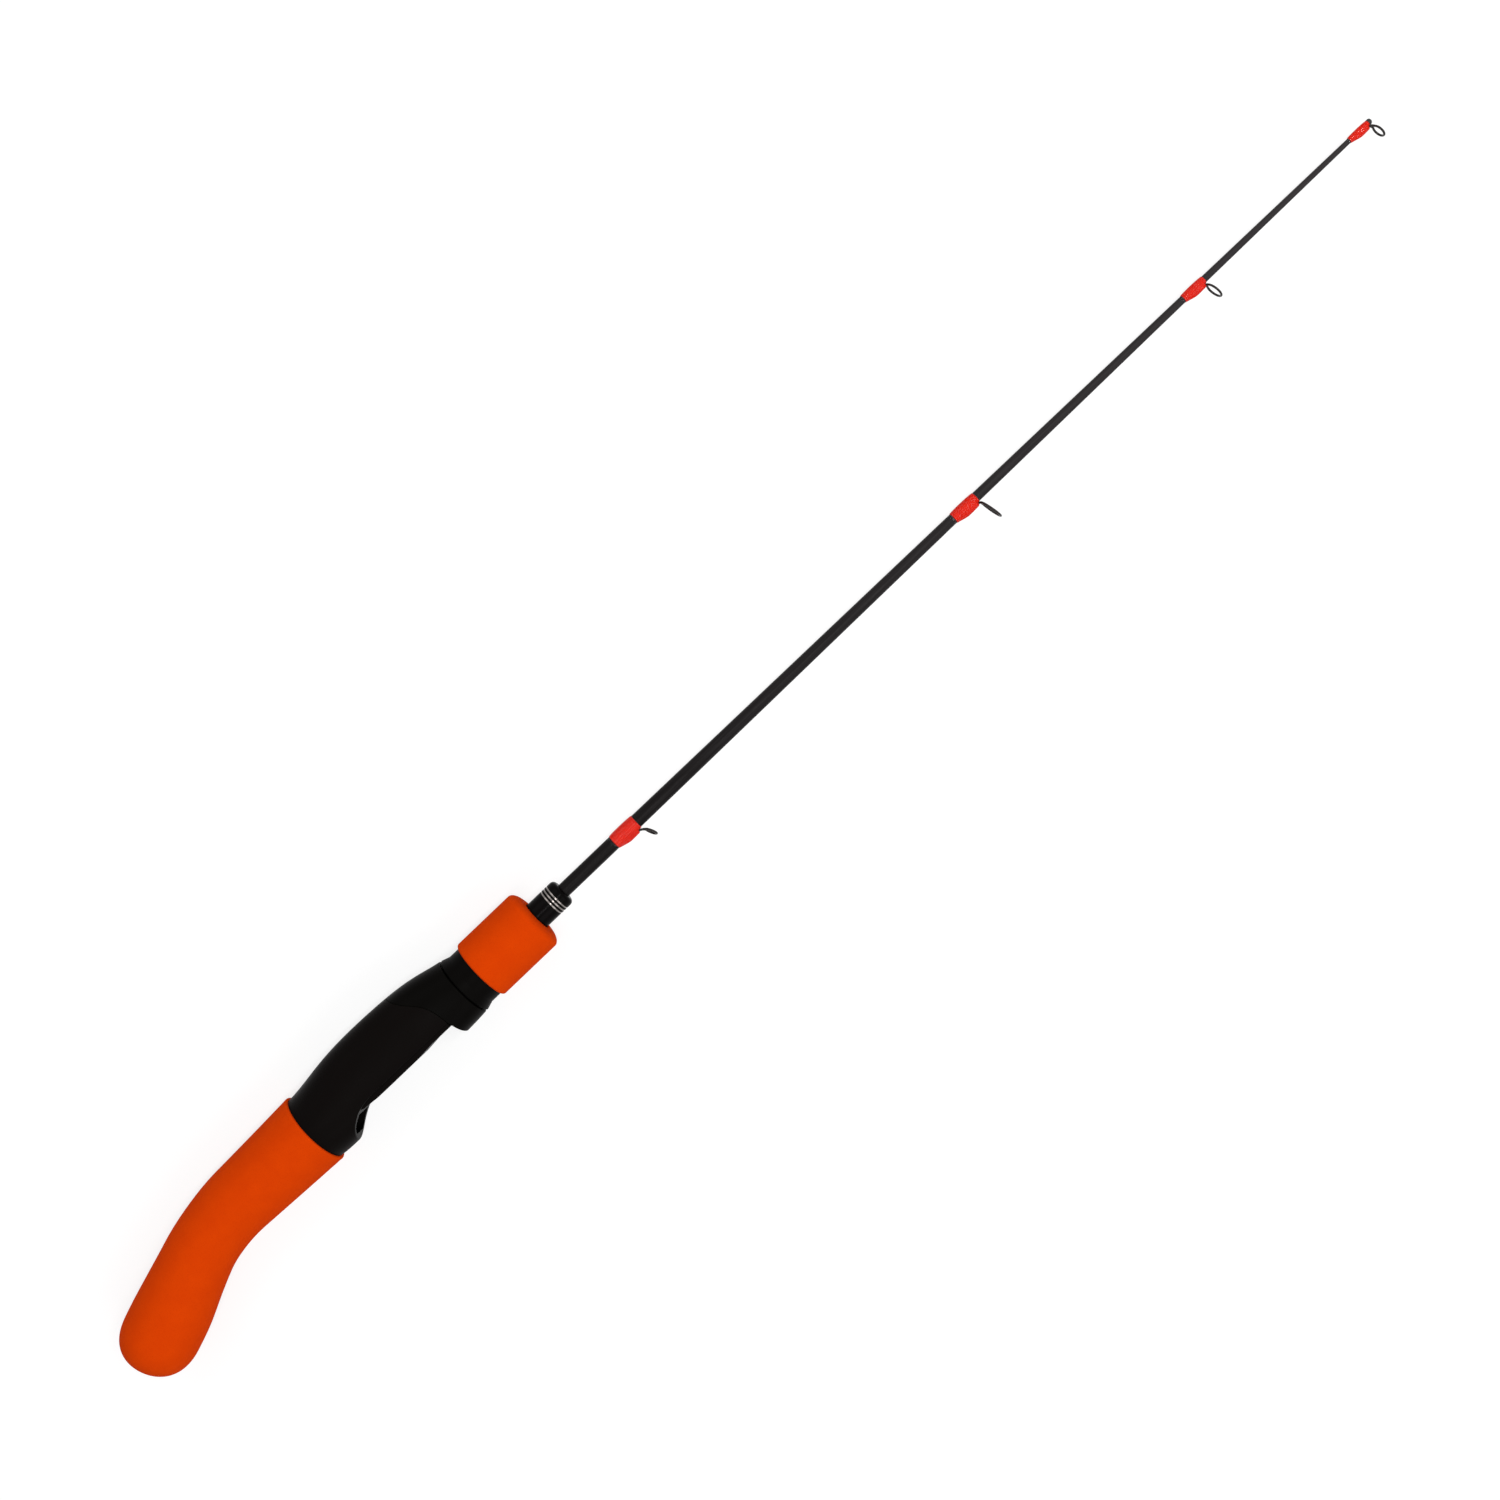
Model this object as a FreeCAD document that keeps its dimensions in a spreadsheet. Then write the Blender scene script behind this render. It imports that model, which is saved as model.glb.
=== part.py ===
import FreeCAD, Part
import Sketcher
import math
import os
from FreeCAD import Placement, Rotation, Vector

# Ice fishing rod with a spinning reel seat, in millimetres.
# The rod lies on its side: +X runs to the tip, -Y is the reel side and +Z is up.
# The origin is the middle of the flat bed that the reel foot sits on. Every piece is
# drawn about the blank's axis, and its placement lifts it so that the bed comes to Y = 0.
# Positions named "..._x" are measured along the blank from the middle of the foot bed.

os.makedirs("parts", exist_ok=True)
doc = FreeCAD.newDocument("ice_rod")

# ---------------------------------------------------------------- driving sizes
SIZES = {
    # blank
    "blank_butt_x": (-24.0, "thick end of the blank, inside the seat"),
    "blank_straight_x": (100.0, "where the blank starts to taper"),
    "blank_tip_x": (458.4, "thin end of the blank"),
    "waist_from_tip": (202.4, "first change of taper, back from the tip"),
    "fine_from_tip": (92.4, "second change of taper, back from the tip"),
    "blank_butt_radius": (2.55, "blank at the handle"),
    "blank_waist_radius": (1.92, "blank at the first change of taper"),
    "blank_fine_radius": (1.35, "blank at the second change of taper"),
    "blank_tip_radius": (0.86, "blank at the tip"),
    "cap_wall": (0.17, "wall of the tip cap"),
    "cap_length": (1.45, "tip cap, with its dome"),
    "glue_gap": (0.05, "glue line between glued pieces"),
    # collar and arbors
    "tube_radius": (5.1, "collar, arbors and grip core, all glued into one bore"),
    "collar_rear_x": (36.0, "rear end of the collar, inside the barrel"),
    "collar_front_x": (79.0, "front end of the collar"),
    "collar_round": (0.33, "shoulder of the collar, as a share of its radius"),
    "ring_from_front": (5.8, "first turned ring, back from the collar's front"),
    "ring_pitch": (1.25, "spacing of the turned rings"),
    "ring_width": (0.55, "width of a turned ring"),
    "ring_depth": (0.16, "depth of a turned ring"),
    "arbor_length": (10.0, "length of an arbor"),
    "rear_arbor_x": (-22.0, "rear end of the rear arbor"),
    "front_arbor_x": (12.0, "rear end of the front arbor"),
    # seat
    "seat_rear_x": (-37.8, "face between the rear grip and the seat"),
    "seat_rear_radius": (12.95, "round rear end of the seat"),
    "bed_depth": (7.35, "foot bed below the blank's axis"),
    "bed_rear_x": (-19.0, "rear end of the foot bed"),
    "bed_front_x": (12.2, "front end of the foot bed"),
    "bed_half_width": (9.7, "half the width of the foot bed"),
    "bed_height": (2.1, "foot bed below the seat's side edges"),
    "foot_half_width": (7.7, "half the width of the pockets for the reel foot"),
    "rear_pocket_x": (-34.2, "blind end of the fixed hood's pocket"),
    "rear_pocket_height": (4.3, "height of the fixed hood's pocket"),
    "hood_pocket_x": (26.8, "blind end of the moving hood's pocket"),
    "hood_pocket_height": (4.2, "height of the moving hood's pocket"),
    "rear_roof_drop": (0.2, "roof of the fixed hood's pocket, above the bed"),
    "hood_roof_drop": (1.05, "roof of the moving hood's pocket, above the bed"),
    "pocket_wall": (1.1, "wall of both hoods round their pockets"),
    "mouth_low_x": (-29.6, "lower lip of the fixed hood's slanted mouth"),
    "mouth_high_x": (-20.4, "front end of the fixed hood's pocket, under the mouth"),
    "barrel_radius": (8.4, "threaded barrel that carries hood and nut"),
    "barrel_front_x": (50.0, "front end of the barrel"),
    "keyway_half_width": (1.5, "keyway along the top of the barrel"),
    "keyway_depth": (1.2, "depth of the keyway"),
    # moving hood and nut
    "hood_front_x": (31.7, "front face of the moving hood"),
    "hood_gap": (0.2, "gap along the swept edge between seat and hood"),
    "slide_gap": (0.15, "clearance of hood and nut on the barrel"),
    "snap_rear_x": (27.3, "rear wall of the snap groove in the hood"),
    "snap_length": (1.6, "length of the snap groove"),
    "nut_wall": (0.75, "wall of the nut's neck and threaded sleeve"),
    "bead_height": (0.4, "snap bead over the nut's neck"),
    "neck_height": (1.15, "nut's neck over its sleeve"),
    "nut_groove_length": (0.5, "length of the groove behind the nut's rim"),
    "nut_rim_height": (0.95, "nut's rim over its neck"),
    "nut_rim_length": (2.9, "cone that runs from the rim down to the neck"),
    "nut_gap": (0.3, "gap between the hood and the nut"),
    "fore_rear_x": (39.8, "rear face of the foregrip"),
    "fore_front_x": (67.0, "front face of the foregrip"),
    "fore_end_wall": (2.5, "foam in front of the nut's sleeve"),
    "fore_wall": (2.25, "foam round the nut's sleeve"),
    "fore_hole_gap": (0.5, "clearance of the foregrip round the collar"),
    "fore_front_round": (3.4, "rounding of the foregrip's front shoulder"),
    "fore_rear_round": (1.0, "rounding of its rear corner"),
    # rear grip
    "grip_radius_front": (13.95, "rear grip at the seat"),
    "grip_radius_straight": (13.2, "rear grip half way to the bend"),
    "grip_radius_bend": (12.6, "rear grip where the bend starts"),
    "grip_radius_waist": (12.25, "rear grip in the middle of the bend"),
    "grip_radius_exit": (12.65, "rear grip where the bend ends"),
    "grip_radius_palm": (13.65, "rear grip behind the bend"),
    "grip_radius_butt": (14.0, "rear grip at the butt"),
    "bend_from_seat": (34.2, "straight length in front of the bend"),
    "bend_radius": (71.4, "radius of the bend"),
    "bend_angle": (21.1, "angle of the bend, in degrees"),
    "grip_run": (40.0, "straight length behind the bend"),
    "butt_round": (6.5, "rounding of the butt"),
    "core_wall": (1.2, "wall of the core tube"),
    "core_short": (12.0, "foam left behind the core"),
    "core_insert": (12.3, "length of the core inside the seat"),
    # wire rings and their wraps
    "wire_radius": (0.4, "guide wire"),
    "foot_spread": (0.42, "each foot wire's distance from the middle plane"),
    "wire_bend": (0.85, "bend between foot and ring"),
    "ring_lead": (0.5, "ring ahead of its wrap"),
    "foot_inset": (1.0, "start of the foot ahead of the wrap's rear end"),
    "thread_height": (0.22, "height of the thread"),
    "coat_height": (0.23, "height of the varnish over the thread"),
    "coat_rear": (1.0, "varnish behind the thread"),
    "coat_front": (0.35, "varnish in front of the thread"),
    "keeper_from_collar": (23.9, "hook keeper's wrap, ahead of the collar"),
    "guide_one_from_tip": (195.8, "first guide's wrap, back from the tip"),
    "guide_two_from_tip": (87.6, "second guide's wrap, back from the tip"),
    "guide_tip_from_tip": (9.4, "tip guide's wrap, back from the tip"),
}
# Wrapped wire pieces: rear end of the wrap, then the wrap's length, the loop's outer
# diameter, its lean towards the tip and the skew of its plane, both in degrees.
RINGS = {
    "keeper": ("dims.collar_front_x + dims.keeper_from_collar", 10.25, 5.3, 24.0, 14.0),
    "one": ("dims.blank_tip_x - dims.guide_one_from_tip", 10.4, 8.7, 10.0, 0.0),
    "two": ("dims.blank_tip_x - dims.guide_two_from_tip", 9.6, 6.6, 10.0, 0.0),
    "tip": ("dims.blank_tip_x - dims.guide_tip_from_tip", 8.7, 5.3, 10.0, 0.0),
}
RING_FIELDS = ("wrap_length", "loop_diameter", "loop_lean", "loop_skew")
for ring, (_, *values) in RINGS.items():
    for field, value in zip(RING_FIELDS, values):
        SIZES[f"{ring}_{field}"] = (value, f"{field.replace('_', ' ')} of the {ring} ring")

sheet = doc.addObject("Spreadsheet::Sheet", "dims")
for row, (alias, (value, note)) in enumerate(SIZES.items(), start=1):
    sheet.set(f"A{row}", alias)
    sheet.set(f"B{row}", str(value))
    sheet.set(f"C{row}", note)
    sheet.setAlias(f"B{row}", alias)
doc.recompute()


def dim(alias):
    """The value that the sheet holds for this alias."""
    return float(sheet.get(alias))


def evaluate(expression):
    """The number that an expression over the sheet gives."""
    return float(sheet.evalExpression(expression))


# ---------------------------------------------------------------- sizes that follow others
# One bore takes core, arbors and collar; the nut is built up from the barrel outwards.
SEAT_BORE = "dims.tube_radius + dims.glue_gap"
BLANK_BORE = "dims.blank_butt_radius + dims.glue_gap"
SLIDE_BORE = "dims.barrel_radius + dims.slide_gap"
SLEEVE_RADIUS = f"{SLIDE_BORE} + dims.nut_wall"
BEAD_RADIUS = f"{SLEEVE_RADIUS} + dims.bead_height"
NUT_RADIUS = f"{SLEEVE_RADIUS} + dims.neck_height"
FORE_BORE = f"{SLEEVE_RADIUS} + dims.glue_gap"
FORE_RADIUS = f"{FORE_BORE} + dims.fore_wall"
CAP_BORE = "dims.blank_tip_radius + dims.glue_gap"
CAP_RADIUS = f"{CAP_BORE} + dims.cap_wall"
BEND_X = "dims.seat_rear_x - dims.bend_from_seat"
# Depths below the blank's axis of the seat's side edges and of the pockets' roofs.
SIDE_EDGE = "dims.bed_depth - dims.bed_height"
REAR_ROOF = "dims.bed_depth - dims.rear_roof_drop"
HOOD_ROOF = "dims.bed_depth - dims.hood_roof_drop"


def wrap_start(ring):
    return RINGS[ring][0]


def wrap_end(ring):
    return f"{wrap_start(ring)} + dims.{ring}_wrap_length"


# ---------------------------------------------------------------- helpers
def new_body(label):
    """A body whose placement puts the foot bed at Y = 0."""
    body = doc.addObject("PartDesign::Body", label)
    body.Label = label
    return body


def origin_plane(body, role):
    return next(item for item in body.Origin.OriginFeatures if item.Role == role)


def new_sketch(body, name, role="XY_Plane"):
    sketch = body.newObject("Sketcher::SketchObject", name)
    sketch.AttachmentSupport = [(origin_plane(body, role), "")]
    sketch.MapMode = "FlatFace"
    return sketch


def polygon(sketch, corners):
    """A closed outline; each corner is a pair of expressions over the sheet."""
    points = [Vector(evaluate(x), evaluate(y), 0) for x, y in corners]
    following = points[1:] + points[:1]
    for start, end in zip(points, following):
        sketch.addGeometry(Part.LineSegment(start, end), False)
    count = len(points)
    for side in range(count):
        sketch.addConstraint(Sketcher.Constraint("Coincident", side, 2, (side + 1) % count, 1))
    for side, (point, names) in enumerate(zip(points, corners)):
        for kind, value, name in zip(("DistanceX", "DistanceY"), point, names):
            index = sketch.addConstraint(Sketcher.Constraint(kind, -1, 1, side, 1, value))
            sketch.setExpression(f"Constraints[{index}]", name)


def circle(sketch, radius):
    """A circle about the sketch's origin; radius is an expression over the sheet."""
    shape = Part.Circle(Vector(0, 0, 0), Vector(0, 0, 1), evaluate(radius))
    item = sketch.addGeometry(shape, False)
    sketch.addConstraint(Sketcher.Constraint("Coincident", item, 3, -1, 1))
    index = sketch.addConstraint(Sketcher.Constraint("Radius", item, evaluate(radius)))
    sketch.setExpression(f"Constraints[{index}]", radius)


def turned(label, corners):
    """A body turned about the blank's axis from an outline of (x, radius) corners."""
    body = new_body(label)
    sketch = new_sketch(body, f"{label}_outline")
    polygon(sketch, corners)
    revolution = body.newObject("PartDesign::Revolution", f"{label}_turned")
    revolution.Profile = sketch
    revolution.ReferenceAxis = (sketch, ["H_Axis"])
    revolution.Angle = 360
    doc.recompute()
    return body


def edges_at(shape, x, radius, tolerance=0.01):
    """Names of the round edges about the axis at this x with this radius."""
    names = []
    for number, edge in enumerate(shape.Edges, start=1):
        curve = edge.Curve
        if not hasattr(curve, "Radius") or not hasattr(curve, "Center"):
            continue
        if abs(curve.Center.x - x) < tolerance and abs(curve.Radius - radius) < tolerance:
            names.append(f"Edge{number}")
    return names


def rounded(body, x, radius, size):
    """A fillet on the body's round edge at (x, radius); all three are expressions."""
    base = body.Tip
    names = edges_at(base.Shape, evaluate(x), evaluate(radius))
    fillet = body.newObject("PartDesign::Fillet", f"{body.Label}_round")
    fillet.Base = (base, names)
    fillet.setExpression("Radius", size)
    doc.recompute()


def softened(name, base, wanted, radius):
    """Small fillets on every edge of base whose middle point is wanted."""
    doc.recompute()
    soft = doc.addObject("Part::Fillet", name)
    soft.Base = base
    edges = enumerate(base.Shape.Edges, start=1)
    soft.Edges = [(number, radius, radius) for number, edge in edges
                  if wanted(edge.valueAt((edge.FirstParameter + edge.LastParameter) / 2))]
    doc.recompute()
    return soft


def feature(name, shape):
    """A shape made by Part's own functions, as an object of the document."""
    item = doc.addObject("Part::Feature", name)
    item.Shape = shape
    return item


def cylinder(name, radius, start, end):
    """A cylinder along the blank's axis from start to end, all expressions."""
    item = doc.addObject("Part::Cylinder", name)
    item.setExpression("Radius", radius)
    item.setExpression("Height", f"({end}) - ({start})")
    item.Placement = Placement(Vector(0, 0, 0), Rotation(Vector(0, 1, 0), 90))
    item.setExpression(".Placement.Base.x", start)
    return item


def block(name, low, high):
    """A box between two corners; each corner is three expressions."""
    item = doc.addObject("Part::Box", name)
    for side, axis, a, b in zip(("Length", "Width", "Height"), "xyz", low, high):
        item.setExpression(side, f"({b}) - ({a})")
        item.setExpression(f".Placement.Base.{axis}", a)
    return item


def fuse(name, items):
    item = doc.addObject("Part::MultiFuse", name)
    item.Shapes = items
    return item


def cut(name, base, tools):
    item = doc.addObject("Part::Cut", name)
    item.Base = base
    item.Tool = tools[0] if len(tools) == 1 else fuse(f"{name}_tools", tools)
    doc.recompute()
    return item


# ---------------------------------------------------------------- blank and tip cap
# Solid tapered rod: level inside the handle, then three tapers to the tip.
blank = turned("blank", [
    ("dims.blank_butt_x", "0"),
    ("dims.blank_butt_x", "dims.blank_butt_radius"),
    ("dims.blank_straight_x", "dims.blank_butt_radius"),
    ("dims.blank_tip_x - dims.waist_from_tip", "dims.blank_waist_radius"),
    ("dims.blank_tip_x - dims.fine_from_tip", "dims.blank_fine_radius"),
    ("dims.blank_tip_x", "dims.blank_tip_radius"),
    ("dims.blank_tip_x", "0"),
])


def blank_radius(x):
    """Radius of the blank's surface at x, from the same stations as its outline."""
    tip = dim("blank_tip_x")
    stations = [
        (dim("blank_straight_x"), dim("blank_butt_radius")),
        (tip - dim("waist_from_tip"), dim("blank_waist_radius")),
        (tip - dim("fine_from_tip"), dim("blank_fine_radius")),
        (tip, dim("blank_tip_radius")),
    ]
    if x <= stations[0][0]:
        return stations[0][1]
    for (x0, r0), (x1, r1) in zip(stations, stations[1:]):
        if x <= x1:
            return r0 + (r1 - r0) * (x - x0) / (x1 - x0)
    return stations[-1][1]


# Cap with a blind bore, pushed over the tip up to the last wrap.
CAP_REAR = f"{wrap_end('tip')} + dims.glue_gap"
CAP_FRONT = f"{CAP_REAR} + dims.cap_length"
tip_cap = turned("tip_cap", [
    (CAP_REAR, CAP_BORE),
    (CAP_REAR, CAP_RADIUS),
    (CAP_FRONT, CAP_RADIUS),
    (CAP_FRONT, "0"),
    ("dims.blank_tip_x + dims.glue_gap", "0"),
    ("dims.blank_tip_x + dims.glue_gap", CAP_BORE),
])
rounded(tip_cap, CAP_FRONT, CAP_RADIUS, f"0.75 * ({CAP_RADIUS})")

# ---------------------------------------------------------------- collar and arbors
# Turned tube that centres the blank in the barrel; three bright rings cut round it.
collar = turned("collar", [
    ("dims.collar_rear_x", BLANK_BORE),
    ("dims.collar_rear_x", "dims.tube_radius"),
    ("dims.collar_front_x", "dims.tube_radius"),
    ("dims.collar_front_x", BLANK_BORE),
])
rounded(collar, "dims.collar_front_x", "dims.tube_radius", "dims.collar_round * dims.tube_radius")
RING_REAR = "dims.collar_front_x - dims.ring_from_front - dims.ring_width / 2"
RING_FRONT = "dims.collar_front_x - dims.ring_from_front + dims.ring_width / 2"
ring_sketch = new_sketch(collar, "collar_ring_outline")
polygon(ring_sketch, [
    (RING_REAR, "dims.tube_radius + dims.ring_depth"),
    (RING_REAR, "dims.tube_radius - dims.ring_depth"),
    (RING_FRONT, "dims.tube_radius - dims.ring_depth"),
    (RING_FRONT, "dims.tube_radius + dims.ring_depth"),
])
ring_groove = collar.newObject("PartDesign::Groove", "collar_ring")
ring_groove.Profile = ring_sketch
ring_groove.ReferenceAxis = (ring_sketch, ["H_Axis"])
ring_groove.Angle = 360
doc.recompute()
RING_COUNT = 3
rings = collar.newObject("PartDesign::LinearPattern", "collar_rings")
rings.Originals = [ring_groove]
rings.Direction = (ring_sketch, ["H_Axis"])
rings.Occurrences = RING_COUNT
rings.setExpression("Length", f"dims.ring_pitch * {RING_COUNT - 1}")
collar.Tip = rings
doc.recompute()

# Plain rings that centre the blank in the seat's bore.
for arbor in ("rear_arbor", "front_arbor"):
    turned(arbor, [
        (f"dims.{arbor}_x", BLANK_BORE),
        (f"dims.{arbor}_x", "dims.tube_radius"),
        (f"dims.{arbor}_x + dims.arbor_length", "dims.tube_radius"),
        (f"dims.{arbor}_x + dims.arbor_length", BLANK_BORE),
    ])

# ---------------------------------------------------------------- nut and foregrip
# The nut is one moulding: snap bead, groove, coned rim, neck and threaded sleeve.
BEAD_REAR = "dims.snap_rear_x + dims.nut_gap"
BEAD_FRONT = "dims.snap_rear_x + dims.snap_length - dims.slide_gap"
GROOVE_REAR = "dims.hood_front_x + dims.nut_gap"
GROOVE_FRONT = f"{GROOVE_REAR} + dims.nut_groove_length"
RIM_RADIUS = f"{NUT_RADIUS} + dims.nut_rim_height"
SLEEVE_FRONT = "dims.fore_front_x - dims.fore_end_wall"
hood_nut = turned("hood_nut", [
    (BEAD_REAR, SLIDE_BORE),
    (BEAD_REAR, BEAD_RADIUS),
    (BEAD_FRONT, BEAD_RADIUS),
    (BEAD_FRONT, SLEEVE_RADIUS),
    (GROOVE_REAR, SLEEVE_RADIUS),
    (GROOVE_REAR, NUT_RADIUS),
    (GROOVE_FRONT, NUT_RADIUS),
    (GROOVE_FRONT, RIM_RADIUS),
    (f"{GROOVE_FRONT} + dims.nut_rim_length", NUT_RADIUS),
    ("dims.fore_rear_x", NUT_RADIUS),
    ("dims.fore_rear_x", SLEEVE_RADIUS),
    (SLEEVE_FRONT, SLEEVE_RADIUS),
    (SLEEVE_FRONT, SLIDE_BORE),
])

# Foam sleeve glued over the nut's sleeve; its front wall closes down to the collar.
FORE_STEP = f"{SLEEVE_FRONT} + dims.glue_gap"
FORE_HOLE = "dims.tube_radius + dims.fore_hole_gap"
foregrip = turned("foregrip", [
    ("dims.fore_rear_x", FORE_BORE),
    ("dims.fore_rear_x", FORE_RADIUS),
    ("dims.fore_front_x", FORE_RADIUS),
    ("dims.fore_front_x", FORE_HOLE),
    (FORE_STEP, FORE_HOLE),
    (FORE_STEP, FORE_BORE),
])
rounded(foregrip, "dims.fore_front_x", FORE_RADIUS, "dims.fore_front_round")
rounded(foregrip, "dims.fore_rear_x", FORE_RADIUS, "dims.fore_rear_round")

# ---------------------------------------------------------------- rear grip and core
# Both follow one line: straight from the seat, a bend towards the reel side, straight
# to the butt. A station on it is (x, y, turn), as expressions over the sheet.
TURN = "dims.bend_angle * 1deg"


def bend_station(share):
    turn = f"{share} * {TURN}"
    return (f"{BEND_X} - dims.bend_radius * sin({turn})",
            f"-dims.bend_radius * (1 - cos({turn}))",
            f"{share} * dims.bend_angle")


def run_station(length):
    x, y, turn = bend_station("1")
    return (f"{x} - ({length}) * cos({TURN})", f"{y} - ({length}) * sin({TURN})", turn)


GRIP_STATIONS = [
    ("front", ("dims.seat_rear_x", "0", "0")),
    ("straight", ("dims.seat_rear_x - dims.bend_from_seat / 2", "0", "0")),
    ("bend", (BEND_X, "0", "0")),
    ("waist", bend_station("0.5")),
    ("exit", bend_station("1")),
    ("palm", run_station("dims.grip_run / 2")),
    ("butt", run_station("dims.grip_run")),
]
rear_grip = new_body("rear_grip")
sections = []
for station, (x, y, turn) in GRIP_STATIONS:
    section = new_sketch(rear_grip, f"grip_section_{station}", "YZ_Plane")
    circle(section, f"dims.grip_radius_{station}")
    section.AttachmentOffset = Placement(Vector(0, 0, 0), Rotation(Vector(0, 1, 0), 1))
    section.setExpression(".AttachmentOffset.Base.x", y)
    section.setExpression(".AttachmentOffset.Base.z", x)
    section.setExpression(".AttachmentOffset.Rotation.Angle", f"({turn}) * 1deg")
    sections.append(section)
doc.recompute()
foam = rear_grip.newObject("PartDesign::AdditiveLoft", "grip_foam")
foam.Profile = sections[0]
foam.Sections = sections[1:]
foam.Ruled = False
doc.recompute()


def line_of_grip(front_x, end_run):
    """The grip's line as a wire: straight, tangent arc, straight."""
    bend_x = evaluate(BEND_X)
    centre = Vector(bend_x, -dim("bend_radius"), 0)
    bend = math.radians(dim("bend_angle"))
    arm = dim("bend_radius")
    start = Vector(bend_x, 0, 0)
    middle = centre + Vector(-math.sin(bend / 2), math.cos(bend / 2), 0) * arm
    finish = centre + Vector(-math.sin(bend), math.cos(bend), 0) * arm
    end = finish + Vector(-math.cos(bend), -math.sin(bend), 0) * end_run
    return (Part.LineSegment(Vector(front_x, 0, 0), start), Part.Arc(start, middle, finish),
            Part.LineSegment(finish, end))


def bent_rod(body, name, kind, radius, front_x, end_run):
    """A pipe feature of this body that follows the grip's line."""
    path = new_sketch(body, f"{name}_path")
    path.addGeometry(list(line_of_grip(front_x, end_run)), False)
    for index in range(path.GeometryCount):
        path.addConstraint(Sketcher.Constraint("Block", index))
    profile = new_sketch(body, f"{name}_profile", "YZ_Plane")
    profile.AttachmentOffset = Placement(Vector(0, 0, front_x), Rotation())
    circle(profile, radius)
    doc.recompute()
    pipe = body.newObject(f"PartDesign::{kind}", name)
    pipe.Profile = profile
    pipe.Spine = (path, ["Edge1", "Edge2", "Edge3"])
    doc.recompute()
    return pipe


butt_edge = max(range(len(foam.Shape.Edges)),
                key=lambda index: -foam.Shape.Edges[index].CenterOfMass.x)
butt = rear_grip.newObject("PartDesign::Fillet", "grip_butt")
butt.Base = (foam, [f"Edge{butt_edge + 1}"])
butt.setExpression("Radius", "dims.butt_round")
doc.recompute()
core_run = dim("grip_run") - dim("core_short")
bent_rod(rear_grip, "grip_bore", "SubtractivePipe", SEAT_BORE,
         dim("seat_rear_x"), core_run + dim("glue_gap"))

# Bent tube glued into the foam and into the rear of the seat's bore.
grip_core = new_body("grip_core")
core_front = dim("seat_rear_x") + dim("core_insert")
bent_rod(grip_core, "core_tube", "AdditivePipe", "dims.tube_radius", core_front, core_run)
bent_rod(grip_core, "core_hollow", "SubtractivePipe", "dims.tube_radius - dims.core_wall",
         core_front, core_run)

# ---------------------------------------------------------------- reel seat
# Seat and moving hood share one flowing form, lofted through rounded sections: at each
# x its top and bottom over the axis, half its width, and the exponent of its roundness.
FORM = [
    (dim("seat_rear_x"), dim("seat_rear_radius"), -dim("seat_rear_radius"),
     dim("seat_rear_radius"), 2.0),
    (-29.0, 13.85, -13.35, 12.8, 2.2),
    (-19.0, 15.2, -13.2, 12.3, 2.45),
    (-5.0, 15.8, -12.8, 11.9, 2.6),
    (7.0, 15.5, -12.3, 11.7, 2.6),
    (17.0, 14.65, -12.05, 11.5, 2.5),
    (24.0, 13.35, -11.9, 11.2, 2.35),
    (33.0, 11.5, -11.3, 11.0, 2.1),
]
SECTION_POINTS = 24


def rounded_section(x, top, bottom, half_width, power, wall):
    """A closed smooth curve: |z/w|^n + |y/h|^n = 1 about the middle, inside the wall."""
    middle = (top + bottom) / 2
    half_height = (top - bottom) / 2 - wall
    half_width = half_width - wall
    points = []
    for step in range(SECTION_POINTS):
        angle = 2 * math.pi * step / SECTION_POINTS
        across, up = math.cos(angle), math.sin(angle)
        z = half_width * math.copysign(abs(across) ** (2 / power), across)
        y = middle + half_height * math.copysign(abs(up) ** (2 / power), up)
        points.append(Vector(x, y, z))
    curve = Part.BSplineCurve()
    curve.interpolate(Points=points, PeriodicFlag=True)
    return Part.Wire(curve.toShape())


def lofted_form(name, wall):
    return feature(name, Part.makeLoft([rounded_section(*row, wall) for row in FORM], True))


seat_form = lofted_form("seat_form", 0.0)
hollow_form = lofted_form("hollow_form", dim("pocket_wall"))

# The swept edge between seat and moving hood, from the crown down to the hood's lip.
SWOOP = [(9.4, 18.0), (10.6, 14.9), (12.9, 11.0), (16.3, 7.2), (18.6, 4.5), (20.2, 1.2),
         (21.0, -2.5), (21.35, -6.0), (21.7, -8.3), (22.05, -10.2), (22.6, -12.0),
         (23.4, -14.0)]
BEYOND = 20.0


def front_of_swoop(name, shift):
    """Everything in front of the swept edge, moved forward by shift."""
    edge = Part.BSplineCurve()
    edge.interpolate([Vector(x + shift, y, -BEYOND) for x, y in SWOOP])
    first, last = edge.StartPoint, edge.EndPoint
    far = dim("hood_front_x") + BEYOND
    rest = Part.makePolygon([last, Vector(far, last.y, -BEYOND),
                             Vector(far, first.y, -BEYOND), first])
    outline = Part.Wire([edge.toShape()] + rest.Edges)
    return feature(name, Part.Face(outline).extrude(Vector(0, 0, 2 * BEYOND)))


def sideways(name, corners, half_width):
    """A closed outline in the middle plane, drawn out to both sides."""
    outline = Part.makePolygon([Vector(x, y, -half_width) for x, y in corners + corners[:1]])
    return feature(name, Part.Face(outline).extrude(Vector(0, 0, 2 * half_width)))


def foot_pocket(name, low, high):
    """Room for the foot's end: a box held inside the hood's wall."""
    room = doc.addObject("Part::MultiCommon", name)
    room.Shapes = [hollow_form, block(f"{name}_box", low, high)]
    return room


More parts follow.
